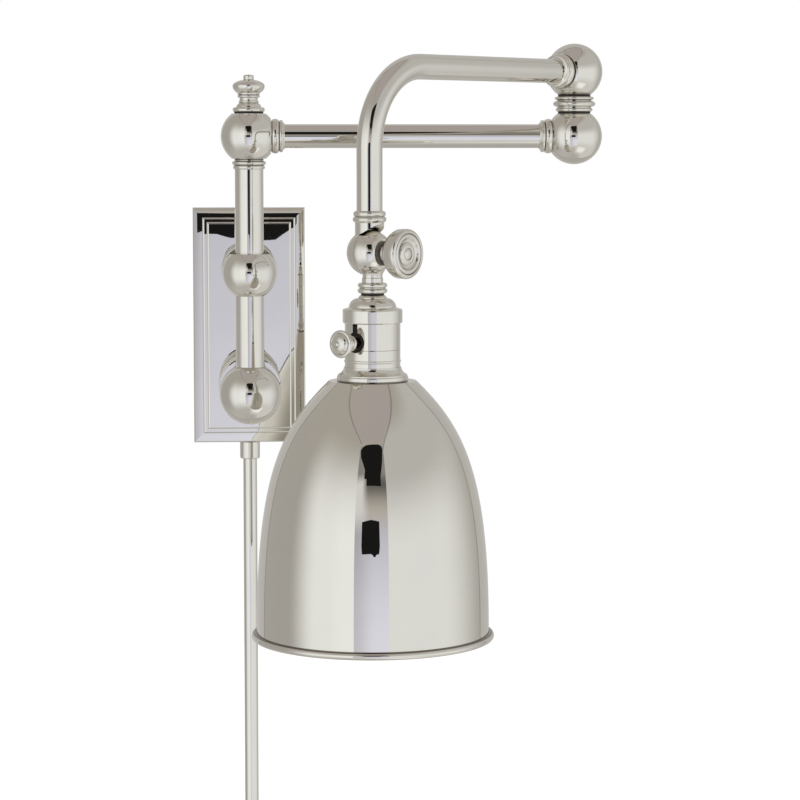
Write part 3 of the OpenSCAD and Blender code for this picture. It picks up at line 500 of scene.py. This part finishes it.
def coated(name, colour, other, roughness, scale):
    """A dull material with two mixed tones, and a roughness and relief that follow them."""
    made = bpy.data.materials.new(name)
    made.use_nodes = True
    tree = made.node_tree
    shader = tree.nodes["Principled BSDF"]
    place = tree.nodes.new("ShaderNodeTexCoord").outputs["Object"]
    spots = node(tree, "ShaderNodeTexNoise", Vector=place, Scale=scale, Detail=3.0)
    tree.links.new(mixed(tree, spots.outputs["Fac"], colour, other), shader.inputs["Base Color"])
    uneven = fade(tree, spots.outputs["Fac"], 0.3, 0.7, roughness - COAT_UNEVEN, roughness + COAT_UNEVEN)
    tree.links.new(uneven, shader.inputs["Roughness"])
    bump = node(tree, "ShaderNodeBump", Strength=1.0, Distance=COAT_RELIEF, Height=spots.outputs["Fac"])
    tree.links.new(bump.outputs[0], shader.inputs["Normal"])
    return made


def polished(name):
    """Polished nickel plating, in a material of its own."""
    return metal(name, NICKEL, NICKEL_HAZED, clean=0.006, hazy=0.028, relief=0.08 * MICRON)


GREEN, GREEN_LIGHTER = (0.02, 0.19, 0.05, 1), (0.03, 0.26, 0.08, 1)
green = coated("green_screw", GREEN, GREEN_LIGHTER, roughness=0.4, scale=500)
dress(green, "green_screw", "ground_screw")
nickel = polished("polished_nickel")
dress(nickel, "polished_nickel", "plate_screws")

# Standoffs and post
# Two turned bars with balls at their ends stand out from the plate and carry the post, a
# brass tube of 3/4 inch. All are nickel plated. The balls and the post are polished, and the
# bars behind the balls are left satin.
SATIN = 0.5
BALL_BACK = -0.058
SATIN_FADE = 0.004
satin_nickel = polished("standoff_nickel")
tree = satin_nickel.node_tree
behind = fade(tree, spot_of(tree)["Y"], BALL_BACK, BALL_BACK + SATIN_FADE, 0.0, SATIN)
shader = tree.nodes["Principled BSDF"]
polish = shader.inputs["Roughness"].links[0].from_socket
tree.links.new(maths(tree, "ADD", polish, behind), shader.inputs["Roughness"])
tree.links.new(maths(tree, "SUBTRACT", 1.0, behind), shader.inputs["Metallic"])
dress(satin_nickel, "polished_nickel", "lower_standoff", "upper_standoff")
dress(nickel, "polished_nickel", "post_tube")


# Post collar
# A short ringed collar, turned from brass bar and soldered on the post's top, under the
# knuckle of the lower arm.
def arc(x, y, r, start, end, steps=10):
    """Points on a circle about (x, y), from one angle to another."""
    return oval(x, y, r, r, start, end, steps)


def oval(x, y, rx, ry, start, end, steps=12):
    """The same on an oval, with its two radii."""
    angles = [math.radians(start + (end - start) * i / steps) for i in range(steps + 1)]
    return [(x + rx * math.cos(a), y + ry * math.sin(a)) for a in angles]


def ring(low, high, inner, outer, steps=14):
    """A rounded ring on a turned piece, from one height to the next."""
    points = []
    for a in (math.pi * i / steps for i in range(steps + 1)):
        points.append((inner + (outer - inner) * math.sin(a), low + (high - low) * (1 - math.cos(a)) / 2))
    return points


SHARP_EDGE = math.radians(32)


def turned(name, outline, place, body, replaced, steps=160):
    """A piece turned on a lathe: an outline of (radius, height) in millimetres, spun about its own Z."""
    mesh = bpy.data.meshes.new(name)
    turning = bmesh.new()
    angles = [math.tau * i / steps for i in range(steps)]
    rows = []
    for radius, level in outline:
        if radius == 0:
            rows.append([turning.verts.new((0, 0, level * MM))] * steps)
            continue
        circle = [(radius * MM * math.cos(a), radius * MM * math.sin(a), level * MM) for a in angles]
        rows.append([turning.verts.new(point) for point in circle])
    for row, upper in zip(rows, rows[1:] + rows[:1]):
        for i in range(steps):
            j = (i + 1) % steps
            corners = list(dict.fromkeys((row[i], row[j], upper[j], upper[i])))
            if len(corners) > 2:
                turning.faces.new(corners)
    bmesh.ops.recalc_face_normals(turning, faces=turning.faces)
    turning.transform(place)
    turning.to_mesh(mesh)
    turning.free()
    mesh.shade_smooth()
    mesh.set_sharp_from_angle(angle=SHARP_EDGE)
    made = bpy.data.objects.new(name, mesh)
    scene.collection.objects.link(made)
    mesh.materials.append(nickel)
    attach(made, body)
    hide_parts(replaced)
    return made


joints = {joint["name"]: joint for joint in frame["record"]["behaviour"]["joints"]}
knuckle_place = Matrix.Translation(joints["lower_arm_swing"]["pos_m"])
POST_R = 9.525
COLLAR_BORE = 4.8
COLLAR_H = 6.5
SPIGOT_R = POST_R - 1.45
SPIGOT_L = 8
collar_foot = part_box("post_collar")[1].z - COLLAR_H * MM
post_x, post_y, arm_z = joints["lower_arm_swing"]["pos_m"]
turned(
    "turned_post_collar",
    [
        (COLLAR_BORE, -SPIGOT_L), (SPIGOT_R, -SPIGOT_L), (SPIGOT_R, 0), (POST_R, 0),
        *ring(0.1, 2.7, POST_R + 0.3, POST_R + 1.1), *ring(3.0, 5.5, POST_R + 0.6, POST_R + 1.8),
        (POST_R + 0.1, 5.8), (POST_R, COLLAR_H), (COLLAR_BORE, COLLAR_H),
    ],
    Matrix.Translation((post_x, post_y, collar_foot)),
    "root",
    "post_collar",
)

# Pivot stem and washers
# A hollow threaded brass stem, on which the knuckle turns. A black fibre washer, cut from
# sheet, lies below and above the knuckle.
BRASS = (0.72, 0.50, 0.22, 1)
BRASS_TARNISHED = (0.60, 0.43, 0.21, 1)
FIBRE, FIBRE_LIGHTER = (0.010, 0.009, 0.008, 1), (0.020, 0.017, 0.015, 1)
brass = metal("brass", BRASS, BRASS_TARNISHED, clean=0.18, hazy=0.34, relief=2 * MICRON)
dress(brass, "brass", "pivot_stem")
fibre = coated("black_fibre", FIBRE, FIBRE_LIGHTER, roughness=0.6, scale=700)
dress(fibre, "black_fibre", "pivot_washer_lower", "pivot_washer_upper")

# Finial
# A nut turned from brass and nickel plated, with a ringed foot, a waist and a round cap with
# a button. It screws on the stem and holds the knuckle down.
FINIAL_HOLE = 4.8
FINIAL_DEPTH = 9.4
CAP_R = 10.7
CAP_Z = 17.2
turned(
    "turned_finial",
    [
        (FINIAL_HOLE, 0), *ring(0, 3.1, 9.5, 10.7), (8.3, 3.3), (8.0, 4.5), (7.6, 5.0), (6.7, 5.8),
        *ring(6.1, 7.5, 6.2, 6.7), (6.0, 8.3), (6.2, 9.3), *ring(9.6, 11.3, 6.7, 7.5), (7.3, 11.6),
        *oval(0, CAP_Z, CAP_R, 6.6, -46, 0, 14), *oval(0, CAP_Z, CAP_R, 4.4, 4, 72, 18),
        (3.4, CAP_Z + 4.5), *arc(2.3, CAP_Z + 6.2, 1.2, -10, 70), (1.2, CAP_Z + 7.5), (0, CAP_Z + 7.7),
        (0, FINIAL_DEPTH), (FINIAL_HOLE, FINIAL_DEPTH),
    ],
    Matrix.Translation((post_x, post_y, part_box("finial")[0].z)),
    "root",
    "finial",
)

# Cord cover
# A thin nickel plated tube down the wall, in a coupling that a steel nut holds in the plate.
# A black plastic bushing lines its foot, where the cord comes out.
dress(nickel, "polished_nickel", "cord_cover_coupling", "cord_cover_tube")
dress(zinc, "zinc_steel", "cord_cover_nut")
PLASTIC, PLASTIC_LIGHTER = (0.02, 0.02, 0.02, 1), (0.03, 0.03, 0.03, 1)
bushing = coated("black_bushing", PLASTIC, PLASTIC_LIGHTER, roughness=0.5, scale=300)
dress(bushing, "black_bushing", "cord_cover_bushing")

# Knuckle and lower arm
# A ball with flats turns on the stem. It carries the arm, a tube of 5/8 inch in two ringed
# collars, and the lower elbow ball at the other end, all of nickel plated brass.
dress(nickel, "polished_nickel", "knuckle_ball", "lower_arm_tube", "elbow_lower_ball")
ARM_R = 7.9375
ARM_COLLAR = [
    (2.5, 9), (6, 9), (6, 14.6), (ARM_R + 2.5, 14.6), (ARM_R + 2.4, 15.2),
    *ring(15.2, 19.8, ARM_R + 2.5, ARM_R + 3.6), *ring(20.2, 22.6, ARM_R + 2, ARM_R + 2.8),
    (ARM_R + 1.2, 22.9), (ARM_R + 0.6, 23.7), (ARM_R + 0.05, 23.7), (ARM_R + 0.05, 17.5), (2.5, 17.5),
]
ALONG_X = Matrix.Rotation(math.radians(90), 4, "Y")
elbow_x, elbow_y, elbow_z = joints["upper_arm_swing"]["pos_m"]
lower_elbow = Matrix.Translation((elbow_x, elbow_y, arm_z)) @ Matrix.Rotation(math.pi, 4, "Z")
turned("turned_inner_collar", ARM_COLLAR, knuckle_place @ ALONG_X, "lower_arm", "inner_arm_collar")
turned("turned_outer_collar", ARM_COLLAR, lower_elbow @ ALONG_X, "lower_arm", "outer_arm_collar")

# Elbow
# A brass pivot joins the two elbow balls. Between them lie a ringed spacer, turned from
# brass and nickel plated, and a black fibre washer on each side of it.
dress(brass, "brass", "elbow_pivot")
dress(fibre, "black_fibre", "elbow_washer_lower", "elbow_washer_upper")
SPACER_HOLE = 4.81
SPACER_R = 10.85
SPACER_CORE = 11.45
spacer_low, spacer_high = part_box("elbow_rings")
SPACER_H = (spacer_high.z - spacer_low.z) / MM
turned(
    "turned_spacer",
    [
        (SPACER_HOLE, 0), (SPACER_R, 0), *ring(0.2, 0.24 * SPACER_H, SPACER_CORE, SPACER_CORE + 0.9),
        *ring(0.32 * SPACER_H, 0.7 * SPACER_H, SPACER_CORE, SPACER_CORE + 2.7),
        *ring(0.76 * SPACER_H, SPACER_H - 0.2, SPACER_CORE, SPACER_CORE + 1.7),
        (SPACER_R, SPACER_H), (SPACER_HOLE, SPACER_H),
    ],
    Matrix.Translation((elbow_x, elbow_y, spacer_low.z)),
    "lower_arm",
    "elbow_rings",
)

# Upper arm
# The second tube starts in a collar on the upper elbow ball, bends down at its far end and
# ends in the split fitting that clamps the lamp head, all of nickel plated brass.
dress(nickel, "polished_nickel", "elbow_upper_ball", "upper_arm_tube", "drop_fitting")
clamp_axis = joints["clamp_knob_turn"]["axis"]
arm_turn = Matrix.Rotation(math.atan2(-clamp_axis[0], clamp_axis[1]), 4, "Z")
upper_elbow = Matrix.Translation((elbow_x, elbow_y, elbow_z)) @ arm_turn
turned("turned_upper_collar", ARM_COLLAR, upper_elbow @ ALONG_X, "upper_arm", "upper_arm_collar")

# Clamp knob
# A dished nickel plated thumb knob with a rounded rim, a raised ring and a boss. Its brass
# stud, with a worn fibre washer on it, draws the two halves of the fitting together on the
# swivel.
dress(brass, "brass", "clamp_stud")
WORN_FIBRE, WORN_FIBRE_LIGHTER = (0.07, 0.06, 0.048, 1), (0.14, 0.12, 0.10, 1)
worn_fibre = coated("clamp_fibre", WORN_FIBRE, WORN_FIBRE_LIGHTER, roughness=0.34, scale=420)
dress(worn_fibre, "black_fibre", "clamp_washer")
KNOB_R = 15.2
KNOB_HOLE = 3.05
KNOB_RIM = 2.2
KNOB_BACK = 12.1
KNOB_FACE = 31
KNOB_RING_R = KNOB_R - 4.3
KNOB_BOSS = 7.2
STUD_END = 23
ALONG_Y = Matrix.Rotation(math.radians(-90), 4, "X")
swivel = Matrix.Translation(joints["head_tilt"]["pos_m"]) @ arm_turn
turned(
    "turned_knob",
    [
        (KNOB_HOLE, KNOB_BACK), (6, KNOB_BACK), (6, 16.2), (8.4, 17.4), (11.6, 19.2), (KNOB_R - 1.4, 21.4),
        (KNOB_R - 0.2, 23.6), *arc(KNOB_R - KNOB_RIM, KNOB_FACE - 2.4, KNOB_RIM, 0, 84, 14),
        (KNOB_R - KNOB_RIM - 0.4, KNOB_FACE - 0.5), (KNOB_R - KNOB_RIM - 0.6, KNOB_FACE - 1.1),
        *oval(KNOB_RING_R, KNOB_FACE - 1.1, 1.4, 0.9, 10, 170, 14), (KNOB_RING_R - 1.7, KNOB_FACE - 1.5),
        (KNOB_RING_R - 2.4, KNOB_FACE - 2), (KNOB_BOSS + 0.4, KNOB_FACE - 2.2),
        *oval(KNOB_BOSS - 2.6, KNOB_FACE - 2.2, 2.6, 1.7, 0, 110, 14), (3.6, KNOB_FACE - 1),
        *oval(0, KNOB_FACE - 1, 3.3, 1, 15, 90, 12)[:-1], (0, KNOB_FACE),
        (0, STUD_END), (KNOB_HOLE, STUD_END),
    ],
    swivel @ ALONG_Y,
    "clamp",
    "clamp_knob",
)

# Head fitting and neck
# The head's swivel ball and its neck are one piece of nickel plated brass. A ringed collar
# and a black washer lie between the neck and the socket. Heights on the head are measured
# from the swivel.
dress(nickel, "polished_nickel", "head_fitting")
dress(fibre, "black_fibre", "socket_washer")
head_x, head_y, key_z = joints["switch_key_turn"]["pos_m"]
swivel_z = joints["head_tilt"]["pos_m"][2]
head = Matrix.Translation((head_x, head_y, swivel_z)) @ arm_turn
NECK_HOLE = 4.8
NECK_BASE = -24.6
NECK_COLLAR_H = 6.6
turned(
    "turned_neck_collar",
    [
        (NECK_HOLE, 0), (7.6, 0), *ring(0.1, 3, 7.9, 9.1), *ring(3.5, 6.3, 7.9, 9),
        (6.9, NECK_COLLAR_H), (NECK_HOLE, NECK_COLLAR_H),
    ],
    head @ Matrix.Translation((0, 0, NECK_BASE * MM)),
    "head",
    "neck_collar",
)

# Socket cap and shell
# A pressed brass cap with a sloped shoulder snaps over a drawn brass shell that has a window
# for the turn key. Both are nickel plated.
CAP_HOLE = 4.8
CAP_TOP = -25.6
CAP_FOOT = -42.6
SHELL_IN_R = 17.05
SHELL_OUT_R = 18.3
turned(
    "spun_socket_cap",
    [
        (CAP_HOLE, CAP_TOP), (7.2, CAP_TOP), *arc(6.5, -27.8, 2.2, 60, 0, 8),
        *arc(8.2, -33.8, 6.4, 72, 6, 16), (SHELL_OUT_R - 2.8, -33.6), (SHELL_OUT_R - 0.7, -34.2),
        (SHELL_OUT_R - 0.2, -34.5), (SHELL_OUT_R, -35), (SHELL_OUT_R, -35.3), (SHELL_OUT_R, CAP_FOOT + 0.5),
        (SHELL_OUT_R - 0.4, CAP_FOOT), (SHELL_IN_R, CAP_FOOT), (SHELL_IN_R, -35.2),
        *arc(8, -34.6, 5.4, 6, 78, 12), (CAP_HOLE, -28.6),
    ],
    head,
    "head",
    "socket_cap",
)
dress(nickel, "polished_nickel", "socket_shell")

# Inside the socket
# A dark fibre liner keeps the shell apart from the moulded black socket body, which holds the
# brass screw shell and the centre contact.
PAPER, PAPER_LIGHTER = (0.006, 0.005, 0.0045, 1), (0.012, 0.010, 0.008, 1)
liner = coated("paper_liner", PAPER, PAPER_LIGHTER, roughness=0.8, scale=260)
dress(liner, "paper_liner", "socket_liner")
MOULDED, MOULDED_LIGHTER = (0.015, 0.012, 0.01, 1), (0.03, 0.022, 0.018, 1)
phenolic = coated("black_phenolic", MOULDED, MOULDED_LIGHTER, roughness=0.3, scale=220)
dress(phenolic, "black_phenolic", "socket_base")
dress(brass, "brass", "screw_shell", "centre_contact")

# Shade fitter
# A nickel plated collar, spun from sheet brass, carries the shade on the socket's shell. A
# threaded brass ring under the shade's top clamps the two together.
FITTER_R = 21.85
SHADE_TOP = -78.2
turned(
    "spun_fitter",
    [
        (SHELL_IN_R, 0), (FITTER_R - 0.4, 0), *arc(FITTER_R - 0.8, 0.8, 0.8, -60, 0, 5),
        *arc(FITTER_R - 0.8, 2.4, 0.8, 0, 80, 8), (FITTER_R - 0.6, 3.8),
        *arc(FITTER_R + 0.9, 9, 5.2, -110, -170, 14), (SHELL_IN_R + 0.5, 8.6), (SHELL_IN_R, 8.6),
    ],
    head @ Matrix.Translation((0, 0, SHADE_TOP * MM)),
    "head",
    "shade_fitter",
)
dress(brass, "brass", "shade_ring")

# Shade and its rim
# A bell of thin brass, spun on a form in one long curve from the fitter to an upright lip,
# nickel plated, polished outside and left satin inside. Its edge is rolled over a wire into
# a round bead, and a band of painted shade darkens the bead's top in the groove above it.
LIP_R = 71.7
LIP_Z = -234.2
BELL = ((26.9, SHADE_TOP), (55.6, -106.3), (LIP_R, -134.2), (LIP_R, LIP_Z))
WALL_SHARES = ((0.4, 1), (0.7, 0.7), (1, 0), (1, 0))


def bell(inset, steps=96):
    """The bell's curve, drawn by its four points, each moved in by its shares of the inset."""
    drawn = [(r - across * inset, z - down * inset) for (r, z), (across, down) in zip(BELL, WALL_SHARES)]
    points = []
    for t in (i / steps for i in range(steps + 1)):
        shares = ((1 - t) ** 3, 3 * t * (1 - t) ** 2, 3 * t * t * (1 - t), t**3)
        points.append(tuple(sum(w * c[axis] for w, c in zip(shares, drawn)) for axis in (0, 1)))
    return points


SHADE_WALL = 1.2
SHADE_SIDES = 256
INSIDE_METALLIC = 0.35
shade = turned(
    "spun_shade",
    [(SHELL_IN_R, SHADE_TOP), *bell(0), *reversed(bell(SHADE_WALL)), (SHELL_IN_R, SHADE_TOP - SHADE_WALL)],
    head,
    "head",
    "shade",
    SHADE_SIDES,
)
satin_inside = metal(
    "shade_inside", NICKEL, NICKEL_HAZED, clean=0.32, hazy=0.42, relief=1.5 * MICRON
)
satin_inside.node_tree.nodes["Principled BSDF"].inputs["Metallic"].default_value = INSIDE_METALLIC
shade.data.materials.append(satin_inside)
for face in shade.data.polygons:
    outwards = (face.center.x - head_x) * face.normal.x + (face.center.y - head_y) * face.normal.y
    face.material_index = int(outwards < 0)
RIM_R = 72.7
BEAD_R = 2.2
BEAD_Z = -235.8
BEAD_GAP = 0.05
BEAD_SHADE_START, BEAD_SHADE_FULL = 0.6, 0.25
rim = turned(
    "rolled_rim",
    [*arc(RIM_R, BEAD_Z, BEAD_R, 115.6, -226.7, 40), (LIP_R + BEAD_GAP, LIP_Z)],
    head,
    "head",
    "shade_rim",
    SHADE_SIDES,
)
# Painted shade: the bead's top, in the groove under the shade's wall, darkens to the crease shade colour.
rim_nickel = polished("rim_nickel")
tree = rim_nickel.node_tree
bead_top = swivel_z + (BEAD_Z + BEAD_R) * MM
bead_shade = fade(tree, spot_of(tree)["Z"], bead_top - BEAD_SHADE_START * MM, bead_top - BEAD_SHADE_FULL * MM)
base = tree.nodes["Principled BSDF"].inputs["Base Color"]
tree.links.new(mixed(tree, bead_shade, base.links[0].from_socket, CREASE_SHADE), base)
rim.data.materials[0] = rim_nickel

# Bulb
# A blown bulb of frosted glass, cemented in a brass screw cap, which screws into the socket's
# screw shell.
FROSTED, FROSTED_LIGHTER = (0.9, 0.88, 0.83, 1), (0.93, 0.91, 0.87, 1)
BULB_CLEAR = 0.4
glass = coated("bulb_glass", FROSTED, FROSTED_LIGHTER, roughness=0.35, scale=200)
glass.node_tree.nodes["Principled BSDF"].inputs["Transmission Weight"].default_value = BULB_CLEAR
dress(glass, "bulb_glass", "bulb_glass")
dress(brass, "brass", "bulb_cap")

# Turn key
# A round nickel plated button on a brass stem, which reaches into the socket through the
# shell's window and turns the switch there.
dress(brass, "brass", "key_stem")
KEY_R = 8.5
KEY_HOLE = 2.65
KEY_REACH = 35
KEY_L = 14.4
STEM_END = -5.8
key_foot = Matrix.Translation((head_x, head_y, key_z)) @ arm_turn
turned(
    "turned_key",
    [
        (KEY_HOLE, -KEY_L), (4.3, -KEY_L), *ring(-14.2, -12, 4.4, 5.1), *ring(-11.7, -10, 4.1, 4.7),
        (3.5, -9.7), (3.5, -8.6), (5, -7.8), (KEY_R - 1.4, -6.2), *arc(KEY_R - 1, -4.6, 1, -60, 70, 12),
        (KEY_R - 1.6, -3.6), (KEY_R - 2.1, -3.9), *oval(0, -3.8, KEY_R - 2.3, 3.1, 4, 72, 16), (1.7, -1.1),
        *oval(0, -0.9, 1.5, 0.9, 10, 90, 10)[:-1], (0, 0), (0, STEM_END), (KEY_HOLE, STEM_END),
    ],
    key_foot @ Matrix.Translation((KEY_REACH * MM, 0, 0)) @ ALONG_X,
    "switch_key",
    "key_button",
)
